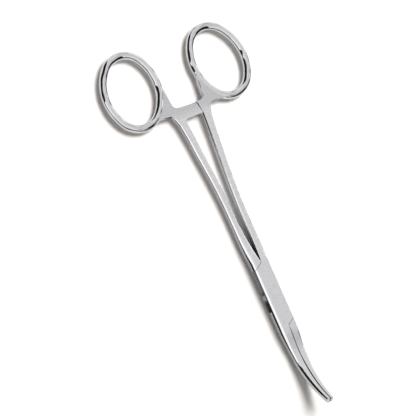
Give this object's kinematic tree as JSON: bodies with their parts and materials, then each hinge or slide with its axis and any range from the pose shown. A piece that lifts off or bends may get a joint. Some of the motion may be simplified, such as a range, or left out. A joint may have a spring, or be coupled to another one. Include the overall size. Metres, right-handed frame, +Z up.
{
  "type": "curved artery forceps",
  "caption": "Hinged ring-handled artery forceps with a box lock, a toothed ratchet below the finger rings and slender curved jaws with cross serrations, closed.",
  "frame": {"origin": "centre of the flat underside of the box lock, under the pivot", "axes": "+Y along the handles towards the finger rings, +Z up out of the flat side towards which the jaw tips curve, +X towards the ring of the box half"},
  "size_m": [0.0606, 0.14, 0.0112],
  "materials": {
    "satin_steel": "satin"
  },
  "bodies": {
    "box_side": {"box_half": "satin_steel", "pivot_pin": "satin_steel"},
    "through_side": {"through_half": "satin_steel"}
  },
  "joints": [
    {"name": "box_lock_pivot", "type": "hinge", "parent": "box_side", "child": "through_side", "pos_m": [0, 0, 0.0025], "axis": [0, 0, 1], "range_deg": [0, 60]}
  ]
}
